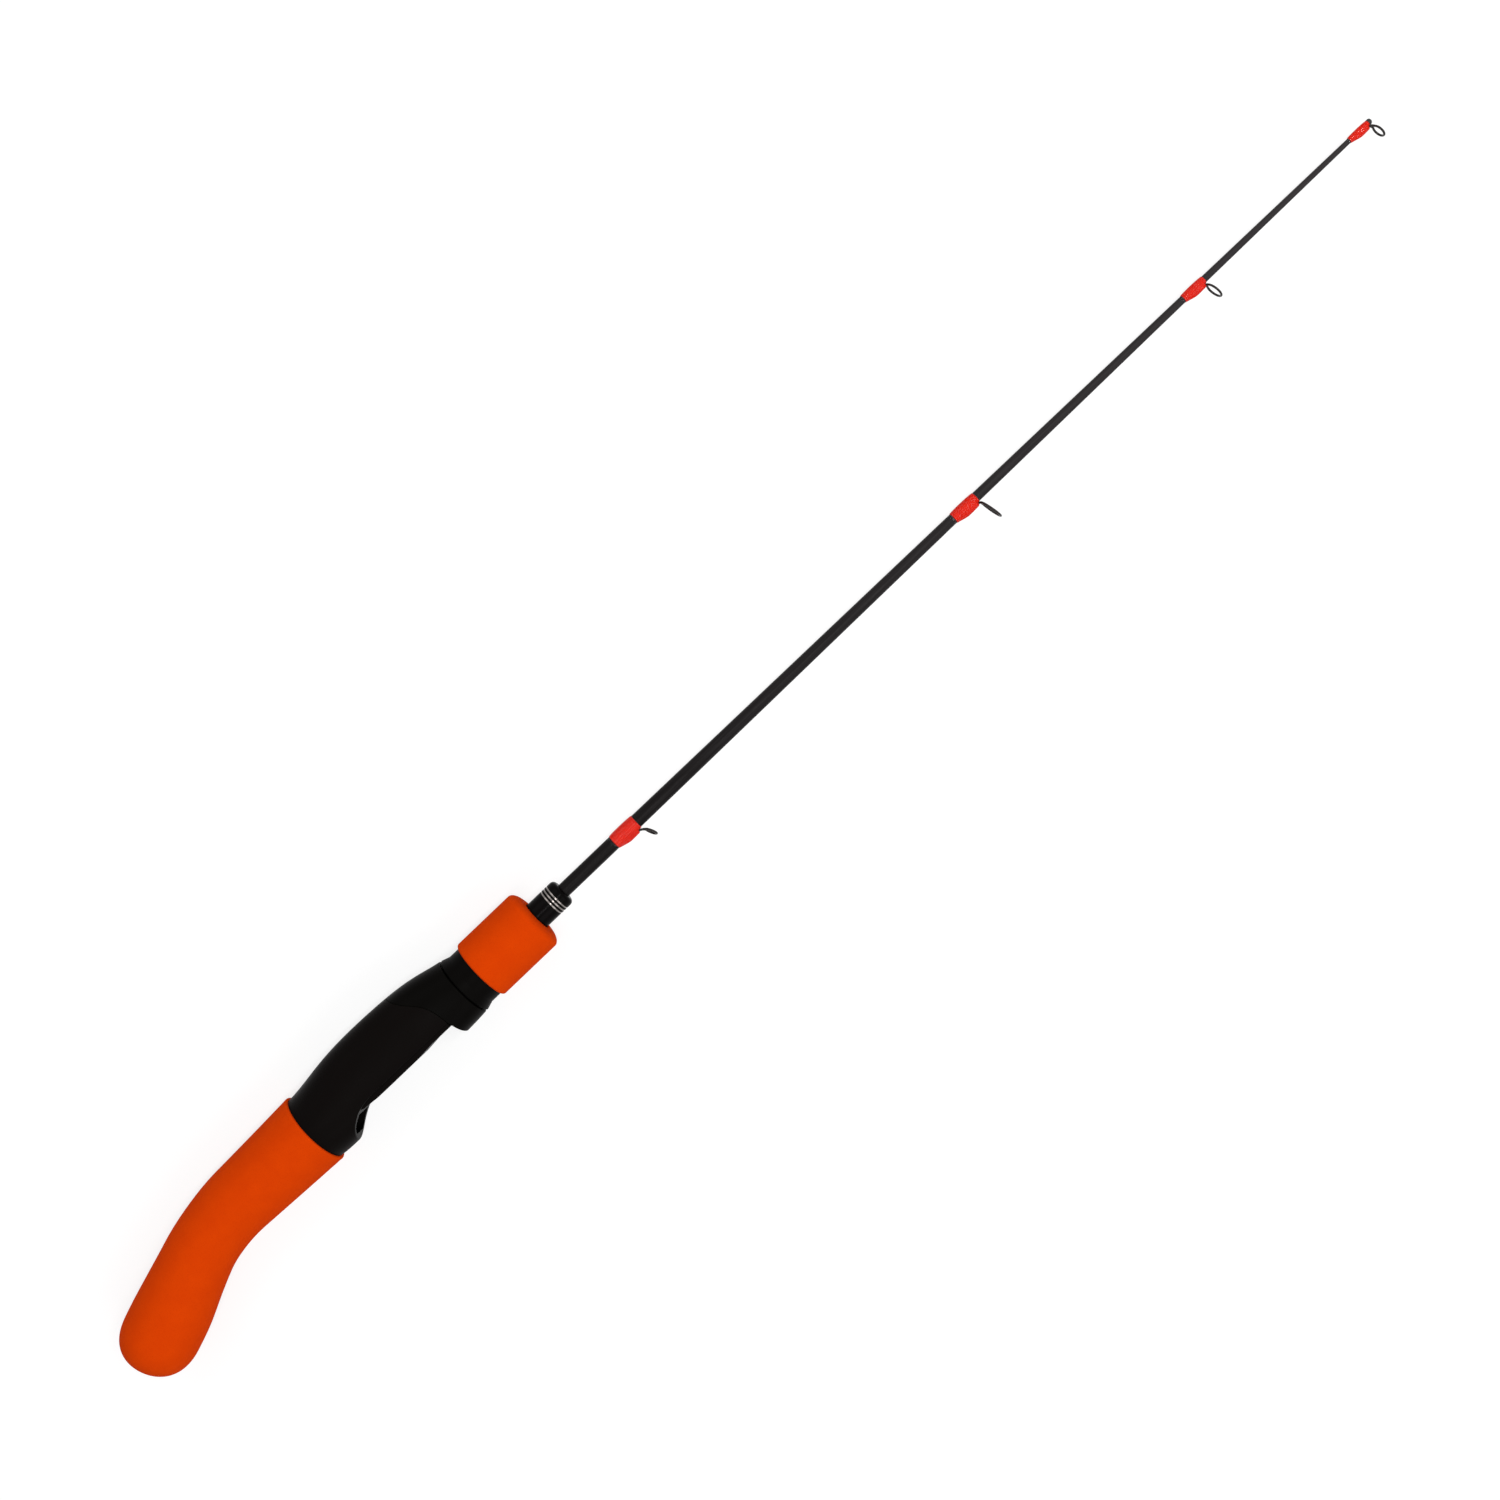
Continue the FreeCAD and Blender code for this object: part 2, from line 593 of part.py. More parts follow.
# Under the seat the foot's channel is cut away: up the slanted mouth of the fixed hood,
# then in one sweep onto the side edges, which run level to the moving hood.
SIDE_Y = -evaluate(SIDE_EDGE)
MOUTH_SWEEP = [(-1.7, -9.8), (0.0, -8.1), (3.6, -4.5), (6.1, -2.75), (8.5, -1.5),
               (11.0, -0.7), (14.0, -0.2), (17.5, 0.0)]
EDGE_ROUND = 0.6


def mouth_curve():
    """The mouth's sweep, straight below the lip and level at its upper end."""
    points = [Vector(dim("mouth_low_x") + x, SIDE_Y + y, -BEYOND) for x, y in MOUTH_SWEEP]
    below = points[0] - (points[1] - points[0]) * 3
    curve = Part.BSplineCurve()
    curve.interpolate(Points=points, InitialTangent=points[1] - points[0],
                      FinalTangent=Vector(1, 0, 0))
    return below, curve


below_lip, sweep = mouth_curve()
level_end = Vector(dim("hood_pocket_x"), SIDE_Y, -BEYOND)
channel_outline = Part.Wire([
    Part.LineSegment(below_lip, sweep.StartPoint).toShape(),
    sweep.toShape(),
    Part.LineSegment(sweep.EndPoint, level_end).toShape(),
    Part.LineSegment(level_end, Vector(level_end.x, below_lip.y, -BEYOND)).toShape(),
    Part.LineSegment(Vector(level_end.x, below_lip.y, -BEYOND), below_lip).toShape(),
])
channel = feature("channel_cut",
                  Part.Face(channel_outline).extrude(Vector(0, 0, 2 * BEYOND)))

# The bed is level under the foot, ends in short ramps, and steps up before the hood.
BED_Y = -dim("bed_depth")
RAMP = 6.0
STEP = 0.5
BED_ROOT = SIDE_Y + 1.0
BED_END = SWOOP[7][0] - 0.3
bed = sideways("foot_bed", [
    (dim("bed_rear_x") - 1.5, BED_ROOT),
    (dim("bed_rear_x") - 1.5, SIDE_Y - 0.9),
    (dim("bed_rear_x"), BED_Y + STEP),
    (dim("bed_rear_x") + RAMP, BED_Y),
    (dim("bed_front_x") - RAMP, BED_Y),
    (dim("bed_front_x"), BED_Y + STEP),
    (BED_END, BED_Y + STEP),
    (BED_END, BED_ROOT),
], dim("bed_half_width"))
soft_bed = softened("soft_bed", bed, lambda point: point.y < BED_Y + STEP + 0.1
                    and abs(point.z) > dim("bed_half_width") - 0.1, EDGE_ROUND)

seat_shell = cut("seat_shell", seat_form, [front_of_swoop("swoop_front", 0.0), channel])


def on_rim(point):
    """True on the mouth's rim and on the two side edges along the channel."""
    return point.y < SIDE_Y + 0.1 and point.x < dim("front_arbor_x") and (
        abs(point.z) > EDGE_ROUND or point.x < dim("mouth_high_x"))


behind_swoop = softened("seat_rim", seat_shell, lambda point: on_rim(point)
                        and point.x > dim("seat_rear_x") + EDGE_ROUND, EDGE_ROUND)
barrel = cylinder("barrel", "dims.barrel_radius", "dims.front_arbor_x", "dims.barrel_front_x")
KEYWAY_FLOOR = "dims.barrel_radius - dims.keyway_depth"
KEYWAY_REAR = "dims.front_arbor_x + dims.arbor_length / 2"
barrel_flat = block(
    "barrel_flat",
    ("dims.front_arbor_x - 1", "-dims.barrel_radius - 1", "-dims.barrel_radius"),
    ("dims.barrel_front_x + 1", f"-({HOOD_ROOF})", "dims.barrel_radius"))
keyway = block(
    "keyway",
    (KEYWAY_REAR, KEYWAY_FLOOR, "-dims.keyway_half_width"),
    ("dims.barrel_front_x + 1", "dims.barrel_radius + 1", "dims.keyway_half_width"))
keyed_barrel = cut("keyed_barrel", barrel, [barrel_flat, keyway])
seat_bore = cylinder("seat_bore", SEAT_BORE, "dims.seat_rear_x - 1", "dims.barrel_front_x + 1")
rear_pocket = foot_pocket(
    "rear_pocket",
    ("dims.rear_pocket_x", f"-({REAR_ROOF}) - dims.rear_pocket_height",
     "-dims.foot_half_width"),
    ("dims.mouth_high_x", f"-({REAR_ROOF})", "dims.foot_half_width"))
seat_solid = fuse("seat_solid", [behind_swoop, soft_bed, keyed_barrel])
seat_body = cut("seat_body", seat_solid, [seat_bore, rear_pocket])

# ---------------------------------------------------------------- moving hood
hood_front = front_of_swoop("hood_front", dim("hood_gap"))
hood_form = doc.addObject("Part::MultiCommon", "hood_form")
hood_form.Shapes = [seat_form, hood_front]
hood_bore = cylinder("hood_bore", SLIDE_BORE, "0", "dims.hood_front_x + 10")
hood_trim = block("hood_trim", ("dims.hood_front_x", f"-{BEYOND}", f"-{BEYOND}"),
                  (f"dims.hood_front_x + {BEYOND}", f"{BEYOND}", f"{BEYOND}"))
snap_groove = cylinder("snap_groove", f"{BEAD_RADIUS} + dims.slide_gap",
                       "dims.snap_rear_x", "dims.snap_rear_x + dims.snap_length")
snap_mouth = cylinder("snap_mouth", f"{SLEEVE_RADIUS} + dims.slide_gap",
                      "dims.snap_rear_x", "dims.hood_front_x + 1")
hood_pocket = foot_pocket(
    "hood_pocket",
    ("dims.bed_front_x", f"-({HOOD_ROOF}) - dims.hood_pocket_height",
     "-dims.foot_half_width"),
    ("dims.hood_pocket_x", "0", "dims.foot_half_width"))
hood_outside = cut("hood_outside", hood_form, [hood_trim])
soft_hood = softened("soft_hood", hood_outside,
                     lambda point: point.x > dim("hood_front_x") - 0.01, EDGE_ROUND)
hood_shell = cut("hood_shell", soft_hood,
                 [hood_bore, snap_groove, snap_mouth, hood_pocket])
# A rib in the keyway keeps the hood from turning with the nut.
KEY_ROOT = 0.4
hood_key = block(
    "hood_key",
    (f"{KEYWAY_REAR} + 1", f"{KEYWAY_FLOOR} + dims.slide_gap",
     "-dims.keyway_half_width + dims.slide_gap"),
    ("dims.hood_pocket_x", f"{SLIDE_BORE} + {KEY_ROOT}",
     "dims.keyway_half_width - dims.slide_gap"))
seat_hood = fuse("seat_hood", [hood_shell, hood_key])

# ---------------------------------------------------------------- wire rings
# One wire makes each piece: a foot wire on either side of the middle plane under the
# blank, a bend, and a round loop that leans towards the tip.


def ring_frame(ring):
    """The wire's corner points and directions for one ring."""
    lean = math.radians(dim(f"{ring}_loop_lean"))
    skew = math.radians(dim(f"{ring}_loop_skew"))
    down = Vector(math.sin(lean), -math.cos(lean), 0)
    across = Vector(math.sin(skew), 0, math.cos(skew))
    loop = dim(f"{ring}_loop_diameter") / 2 - dim("wire_radius")
    return down, across, loop


def leg_angle(loop, bend, spread):
    """The angle from the loop's top at which a leg meets it, found by repetition."""
    angle = 0.3
    for _ in range(30):
        angle = math.asin(min(0.9, (spread + bend * math.cos(angle)) / loop))
    return angle


def wire_path(ring):
    """Foot, bend, loop, bend and foot as one smooth wire."""
    down, across, loop = ring_frame(ring)
    bend, spread = dim("wire_bend"), dim("foot_spread")
    corner_x = evaluate(wrap_end(ring)) + dim("ring_lead")
    foot_x = evaluate(wrap_start(ring)) + dim("foot_inset")
    height = -(blank_radius(foot_x) + dim("wire_radius") + dim("glue_gap"))
    angle = leg_angle(loop, bend, spread)
    legs = []
    for side in (1, -1):
        out = across * side
        tangent = out * math.cos(angle) + down * math.sin(angle)
        tangent.normalize()
        corner = Vector(corner_x, height, side * spread)
        along = Vector(1, 0, 0)
        reach = bend * math.tan(along.getAngle(tangent) / 2)
        bend_start = corner - along * reach
        bend_end = corner + tangent * reach
        inward = tangent - along
        inward.normalize()
        chord = (bend_start + bend_end) * 0.5
        towards = corner - chord
        depth = bend / math.cos(along.getAngle(tangent) / 2) - bend
        middle = corner - towards.normalize() * depth
        legs.append((Vector(foot_x, height, side * spread), bend_start, middle, bend_end))
    near, far = legs
    top = (near[3] + far[3]) * 0.5
    span = (near[3] - far[3]).Length / 2
    drop = math.sqrt(max(loop ** 2 - span ** 2, 0.0))
    bottom = top + down * (drop + loop)
    return Part.Wire([
        Part.LineSegment(near[0], near[1]).toShape(),
        Part.Arc(near[1], near[2], near[3]).toShape(),
        Part.Arc(near[3], bottom, far[3]).toShape(),
        Part.Arc(far[3], far[2], far[1]).toShape(),
        Part.LineSegment(far[1], far[0]).toShape(),
    ])


def wire_ring(label, ring):
    path = wire_path(ring)
    start = path.Edges[0].Vertexes[0].Point
    section = Part.Wire(Part.Circle(start, Vector(1, 0, 0), dim("wire_radius")).toShape())
    return feature(label, path.makePipeShell([section], True, True))


def wrap_outline(x, height):
    """A band round the blank that also hugs the wires under it: two arcs and tangents."""
    blank_arc = blank_radius(x) + height
    foot_arc = 2 * dim("wire_radius") + dim("glue_gap") + height
    offset = blank_radius(x)
    angle = math.acos((blank_arc - foot_arc) / offset)
    across, up = math.sin(angle), -math.cos(angle)
    right_top = Vector(x, blank_arc * up, blank_arc * across)
    left_top = Vector(x, blank_arc * up, -blank_arc * across)
    right_low = Vector(x, foot_arc * up - offset, foot_arc * across)
    left_low = Vector(x, foot_arc * up - offset, -foot_arc * across)
    return Part.Wire([
        Part.Arc(left_top, Vector(x, blank_arc, 0), right_top).toShape(),
        Part.LineSegment(right_top, right_low).toShape(),
        Part.Arc(right_low, Vector(x, -offset - foot_arc, 0), left_low).toShape(),
        Part.LineSegment(left_low, left_top).toShape(),
    ])


def band(name, ring, height, rear, front):
    """The wrap's outline drawn out from rear behind the thread to front ahead of it."""
    start = evaluate(wrap_start(ring)) - rear
    length = evaluate(wrap_end(ring)) + front - start
    face = Part.Face(wrap_outline(start, height))
    return feature(name, face.extrude(Vector(length, 0, 0)))


blank_tool = feature("blank_tool", blank.Shape.copy())
PIECES = {
    "keeper": ("hook_keeper", "keeper_wrap", "keeper_coat"),
    "one": ("guide_1", "wrap_1", "coat_1"),
    "two": ("guide_2", "wrap_2", "coat_2"),
    "tip": ("tip_guide", "tip_wrap", "tip_coat"),
}
wrapped_pieces = []
for ring, (ring_name, wrap_name, coat_name) in PIECES.items():
    wire = wire_ring(ring_name, ring)
    wire_tool = feature(f"{ring_name}_tool", wire.Shape.copy())
    thread = band(f"{wrap_name}_band", ring, dim("thread_height"), 0.0, 0.0)
    varnish = band(f"{coat_name}_band", ring, dim("thread_height") + dim("coat_height"),
                   dim("coat_rear"), dim("coat_front"))
    wrap = cut(wrap_name, thread, [blank_tool, wire_tool])
    coat_tools = [thread, blank_tool, wire_tool]
    if ring == "tip":
        coat_tools.append(cylinder("cap_clearance", f"{CAP_RADIUS} + dims.glue_gap",
                                   wrap_end(ring), CAP_FRONT))
    coat = cut(coat_name, varnish, coat_tools)
    wrapped_pieces += [wire, wrap, coat]
doc.recompute()

# ---------------------------------------------------------------- place, check, write
NODES = [blank, tip_cap, collar, doc.rear_arbor, doc.front_arbor, hood_nut, foregrip,
         rear_grip, grip_core, seat_body, seat_hood] + wrapped_pieces
for node in NODES:
    node.Label = node.Name
    node.setExpression(".Placement.Base.y", "dims.bed_depth")
doc.recompute()

for item in doc.Objects:
    if "Invalid" in item.State or "Error" in item.State:
        raise RuntimeError(f"{item.Name} failed: {item.State}")
for node in NODES:
    if node.Shape.isNull() or not node.Shape.isValid() or not node.Shape.Solids:
        raise RuntimeError(f"{node.Label} has no valid solid")
    node.Shape.exportStep(f"parts/{node.Label}.step")
    box = node.Shape.BoundBox
    print(f"{node.Label:12s} solids {len(node.Shape.Solids)} volume {node.Shape.Volume:9.2f}"
          f"  x {box.XMin:7.2f} {box.XMax:7.2f}  y {box.YMin:6.2f} {box.YMax:6.2f}"
          f"  z {box.ZMin:6.2f} {box.ZMax:6.2f}")
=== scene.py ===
import math
import bpy
import numpy as np
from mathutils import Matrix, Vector


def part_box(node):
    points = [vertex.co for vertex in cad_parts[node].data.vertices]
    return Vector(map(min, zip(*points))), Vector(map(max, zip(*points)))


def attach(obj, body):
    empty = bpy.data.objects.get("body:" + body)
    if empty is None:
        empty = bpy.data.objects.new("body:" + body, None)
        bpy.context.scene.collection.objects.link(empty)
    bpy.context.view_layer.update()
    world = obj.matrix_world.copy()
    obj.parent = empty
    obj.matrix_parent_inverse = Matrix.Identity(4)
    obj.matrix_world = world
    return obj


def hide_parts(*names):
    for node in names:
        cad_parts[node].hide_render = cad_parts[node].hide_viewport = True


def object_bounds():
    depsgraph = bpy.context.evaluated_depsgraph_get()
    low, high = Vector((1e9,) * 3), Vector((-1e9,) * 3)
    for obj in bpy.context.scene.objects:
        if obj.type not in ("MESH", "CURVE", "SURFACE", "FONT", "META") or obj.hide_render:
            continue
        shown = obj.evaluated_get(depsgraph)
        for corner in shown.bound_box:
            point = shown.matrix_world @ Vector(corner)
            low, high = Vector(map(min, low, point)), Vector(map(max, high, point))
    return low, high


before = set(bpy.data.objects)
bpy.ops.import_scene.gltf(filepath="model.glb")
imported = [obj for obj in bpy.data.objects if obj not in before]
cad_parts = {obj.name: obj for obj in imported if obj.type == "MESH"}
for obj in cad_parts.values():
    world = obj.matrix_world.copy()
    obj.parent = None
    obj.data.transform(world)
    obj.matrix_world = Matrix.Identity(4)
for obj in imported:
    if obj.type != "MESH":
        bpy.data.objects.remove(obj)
cad_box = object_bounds()

# ---------------------------------------------------------------- rear grip
# Bent handle of closed-cell EVA foam, turned and sanded, glued over a bent core tube
# behind the seat. Fine open pores and faint sanding marks cover it.
MM = 0.001


def srgb(red, green, blue):
    """Linear colour of an sRGB value from 0 to 255: the usual power curve with its straight foot."""
    value = np.array((red, green, blue)) / 255
    linear = np.where(value <= 0.04045, value / 12.92, ((value + 0.055) / 1.055) ** 2.4)
    return (*linear.tolist(), 1.0)


def spline(knots, values, at):
    """Smooth curve through the knots: piecewise cubics whose slopes are the parabola slopes of each
    knot and its two neighbours, evaluated at every position of the array at once."""
    knots, values, at = (np.asarray(item, dtype=float) for item in (knots, values, at))
    slopes = np.gradient(values, knots, axis=0, edge_order=2)
    piece = np.clip(np.searchsorted(knots, at) - 1, 0, len(knots) - 2)
    width = knots[piece + 1] - knots[piece]
    share = (at - knots[piece]) / width
    if values.ndim > 1:
        width, share = width[..., None], share[..., None]
    return ((1 + 2 * share) * (1 - share) ** 2 * values[piece]
            + share * (1 - share) ** 2 * width * slopes[piece]
            + share ** 2 * (3 - 2 * share) * values[piece + 1]
            - share ** 2 * (1 - share) * width * slopes[piece + 1])


def sheet_mesh(name, grid, around=True, along=False, caps=False):
    """A piece from a grid of points (rows, columns, 3). Neighbouring rows and columns make four-sided
    faces; around closes each row, along joins the last row to the first, caps fans the two end rows
    into their middle points."""
    rows, columns = grid.shape[:2]
    points = grid.reshape(-1, 3)
    row = np.arange(rows if along else rows - 1)
    column = np.arange(columns if around else columns - 1)
    row, column = (item.ravel() for item in np.meshgrid(row, column, indexing="ij"))
    up, right = (row + 1) % rows, (column + 1) % columns
    quads = np.stack((row * columns + column, row * columns + right,
                      up * columns + right, up * columns + column), axis=1)
    faces = quads.tolist()
    if caps:
        turn = np.arange(columns)
        after = (turn + 1) % columns
        last = (rows - 1) * columns
        middles = np.stack((grid[0].mean(0), grid[-1].mean(0)))
        first_middle = len(points)
        points = np.concatenate((points, middles))
        faces += np.stack((after, turn, np.full(columns, first_middle)), axis=1).tolist()
        faces += np.stack((turn + last, after + last, np.full(columns, first_middle + 1)),
                          axis=1).tolist()
    mesh = bpy.data.meshes.new(name)
    mesh.from_pydata(points.tolist(), [], faces)
    mesh.validate()
    mesh.update()
    mesh.polygons.foreach_set("use_smooth", np.ones(len(mesh.polygons), dtype=bool))
    piece = bpy.data.objects.new(name, mesh)
    bpy.context.collection.objects.link(piece)
    return piece


def adder(tree):
    """A function that adds one node to a node tree: fields set its own settings, and values gives its
    sockets a constant or links another node's output to them."""
    def add(kind, values=None, **fields):
        node = tree.nodes.new(kind)
        for field, value in fields.items():
            setattr(node, field, value)
        for socket, value in (values or {}).items():
            if isinstance(value, bpy.types.NodeSocket):
                tree.links.new(value, node.inputs[socket])
            else:
                node.inputs[socket].default_value = value
        return node
    return add


def finish(name, colour, roughness, specular=0.5, metallic=0.0):
    """A material with one Principled shader. Returns the material, a function that adds a node to it,
    a function that feeds a socket to one of the shader's inputs, and the socket that gives a
    point's place in its piece's own coordinates, in metres."""
    material = bpy.data.materials.new(name)
    material.use_nodes = True
    tree = material.node_tree
    shader = tree.nodes["Principled BSDF"]
    shader.inputs["Base Color"].default_value = colour
    shader.inputs["Roughness"].default_value = roughness
    shader.inputs["Specular IOR Level"].default_value = specular
    shader.inputs["Metallic"].default_value = metallic
    add = adder(tree)

    def feed(socket, into):
        tree.links.new(socket, shader.inputs[into])

    return material, add, feed, add("ShaderNodeTexCoord").outputs["Object"]


def noise(add, place, scale, detail, distortion=0.0):
    """Cloudy noise from about 0.3 to 0.7, with scale cells to one unit of place."""
    return add("ShaderNodeTexNoise", {"Vector": place, "Scale": scale, "Detail": detail,
                                      "Distortion": distortion}).outputs["Fac"]


def spread(add, value, before, after):
    """Carries the value from the range before to the range after, on a straight line and no further
    than its ends."""
    return add("ShaderNodeMapRange", {"Value": value, "From Min": before[0], "From Max": before[1],
                                      "To Min": after[0], "To Max": after[1]}).outputs["Result"]


def blend(add, share, first, second):
    """The first colour where share is 0, the second where it is 1."""
    return add("ShaderNodeMix", {"Factor": share, "A": first, "B": second},
               data_type="RGBA").outputs["Result"]


def relief(add, feed, height, strength, distance):
    """Gives the shader the slopes of a skin raised by the height, times the distance in metres;
    strength is how much of that tilt is used. Returns the tilted normal."""
    normal = add("ShaderNodeBump", {"Height": height, "Strength": strength,
                                    "Distance": distance}).outputs["Normal"]
    feed(normal, "Normal")
    return normal


SEAT_END_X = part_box("seat_body")[0][0]
AXIS_Y = 7.35 * MM
BORE_RADIUS = 5.15 * MM
BEND_START = 34.2 * MM
BEND_RADIUS = 71.4 * MM
BEND_ANGLE = math.radians(21.1)
BEND_LENGTH = BEND_RADIUS * BEND_ANGLE
GRIP_LENGTH = BEND_START + BEND_LENGTH + 41.5 * MM
BUTT_LENGTH = 13.8 * MM
# The powers of the blunt dome at the butt; 2 and a half would make it half an ellipsoid.
BUTT_FALL, BUTT_ROUNDNESS = 2.32, 0.398
FACE_RINGS = 12
# Lengths along the handle, and the foam's radius at each.
GRIP_AT = np.array((0, 17.1, 34.2, 47.35, 60.5, 75.0, 82.0, 88.2)) * MM
GRIP_RADII = np.array((13.92, 13.17, 12.57, 12.22, 12.62, 13.45, 13.82, 13.93)) * MM
# The sanded hollow on the reel side, as a share of the radius.
HOLLOW_AT = np.array((0, 38.0, 47.0, 58.0, 68.0, 78.0, 90.0, 102.0)) * MM
HOLLOW = np.array((0, 0, 0.012, 0.054, 0.054, 0.030, 0.049, 0.049))


def grip_line(length):
    """Point and direction after each length along the handle: straight, then a circular bend towards
    the reel side, then straight again."""
    turn = np.clip((length - BEND_START) / BEND_RADIUS, 0, BEND_ANGLE)
    straight = np.minimum(length, BEND_START)
    run = np.maximum(length - BEND_START - BEND_LENGTH, 0)
    x = SEAT_END_X - straight - BEND_RADIUS * np.sin(turn) - run * np.cos(BEND_ANGLE)
    y = AXIS_Y - BEND_RADIUS * (1 - np.cos(turn)) - run * np.sin(BEND_ANGLE)
    return x, y, turn


def grip_surface(columns=144):
    """The foam's skin: rings square to the handle's line, a little flatter on the reel side. The front
    face runs out from the bore and turns a small worn corner. The butt is a blunt dome: at the share
    d of its length from the end, its radius is 1 less (1 - d) to the power BUTT_FALL, all to the
    power BUTT_ROUNDNESS, and its rings crowd towards the end."""
    corner = 0.7 * MM
    quarter = np.linspace(0, math.pi / 2, 9)[1:]
    body = np.linspace(corner, GRIP_LENGTH - BUTT_LENGTH, 110)[1:]
    share = np.linspace(1, 0.02, 60)[1:] ** 2
    front_radius, butt_radius = GRIP_RADII[0], GRIP_RADII[-1]
    face = np.linspace(BORE_RADIUS, front_radius - corner, FACE_RINGS)
    length = np.concatenate((np.zeros(FACE_RINGS), corner * (1 - np.cos(quarter)), body,
                             GRIP_LENGTH - BUTT_LENGTH * share))
    radius = np.concatenate((face, front_radius - corner * (1 - np.sin(quarter)),
                             spline(GRIP_AT, GRIP_RADII, body),
                             butt_radius * (1 - (1 - share) ** BUTT_FALL) ** BUTT_ROUNDNESS))
    x, y, turn = (item[:, None] for item in grip_line(length))
    around = np.linspace(0, 2 * math.pi, columns, endpoint=False)
    out, side = radius[:, None] * np.cos(around), -radius[:, None] * np.sin(around)
    hollow = spline(HOLLOW_AT, HOLLOW, length)[:, None]
    out = np.where(out < 0, out * (1 - hollow), out)
    return np.stack((x - out * np.sin(turn), y + out * np.cos(turn),
                     np.broadcast_to(side, out.shape)), axis=2)


def foam_finish(name):
    """Orange EVA: an even colour with a faint cloudiness, painted shade darkening its tiny pores, and
    a relief of pores and fine sanding marks."""
    material, add, feed, place = finish(name, srgb(218, 64, 1), 0.9, 0.03)
    cloud = noise(add, place, 190.0, 5.0)
    grain = noise(add, place, 3400.0, 3.0)
    pores = add("ShaderNodeTexVoronoi", {"Vector": place, "Scale": 2300.0}).outputs["Distance"]
    around_pore = spread(add, pores, (0.08, 0.34), (0, 1))
    between_pores = blend(add, spread(add, cloud, (0.32, 0.68), (0, 1)), srgb(216, 63, 1), srgb(220, 66, 1))
    # The darker colour in the pores is painted shade inside them.
    feed(blend(add, around_pore, srgb(206, 58, 1), between_pores), "Base Color")
    height = add("ShaderNodeMath", {0: around_pore, 1: grain}, operation="ADD").outputs[0]
    relief(add, feed, height, 0.3, 0.07 * MM)
    return material


foam = foam_finish("orange_eva_foam")
rear_grip = sheet_mesh("rear_grip_foam", grip_surface(), caps=True)
rear_grip.data.materials.append(foam)
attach(rear_grip, "rod")
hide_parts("rear_grip")

# ---------------------------------------------------------------- core tube and arbors
# Inside the handle a bent tube carries the foam, and two wound fibre bushes centre the
# blank in the seat. Only their ends can ever be seen.


def dress(material, *nodes):
    """Gives CAD nodes their finish, in every slot they have."""
    for node in nodes:
        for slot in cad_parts[node].material_slots:
            slot.material = material


fibre, add, feed, place = finish("fibre_bush", srgb(150, 120, 80), 0.6, 0.3)
winding_marks = add("ShaderNodeTexWave", {"Vector": place, "Scale": 900.0, "Distortion": 2.0})
relief(add, feed, winding_marks.outputs["Fac"], 0.3, 0.1 * MM)
dress(fibre, "rear_arbor", "front_arbor", "grip_core")

# ---------------------------------------------------------------- reel seat, hood and nut
# Injection-moulded black nylon: the seat with its fixed hood, the hood that slides on
# its barrel, and the nut that draws the hood along. The mould leaves a fine satin grain,
# and the hood and nut are given a deeper black than the seat.


def moulded_nylon(name, colour, roughest):
    """Black nylon with a mould's fine grain and slow swirls of duller and shinier skin."""
    material, add, feed, place = finish(name, colour, 0.42, 0.02)
    swirl = noise(add, place, 70.0, 5.0, 0.6)
    feed(spread(add, swirl, (0.3, 0.7), (0.36, roughest)), "Roughness")
    relief(add, feed, noise(add, place, 3200.0, 2.0), 0.12, 0.05 * MM)
    return material


dress(moulded_nylon("satin_black_nylon", srgb(11, 8, 7), 0.52), "seat_body")
dress(moulded_nylon("deep_black_nylon", srgb(6, 5, 4), 0.46), "seat_hood", "hood_nut")

# ---------------------------------------------------------------- foregrip
# A second, shorter sleeve of the same foam, glued over the nut's sleeve: turning it
# turns the nut. Its front is sanded to a blunt dome, its rear corner only broken.
fore_low, fore_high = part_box("foregrip")
FORE_REAR_X, FORE_FRONT_X = fore_low[0], fore_high[0] - 0.5 * MM
FORE_RADIUS = 11.6 * MM
SLEEVE_RADIUS = 9.35 * MM
# The opening in the front face, round the collar.
MOUTH_RADIUS, MOUTH_DEPTH = 5.6 * MM, 2.4 * MM


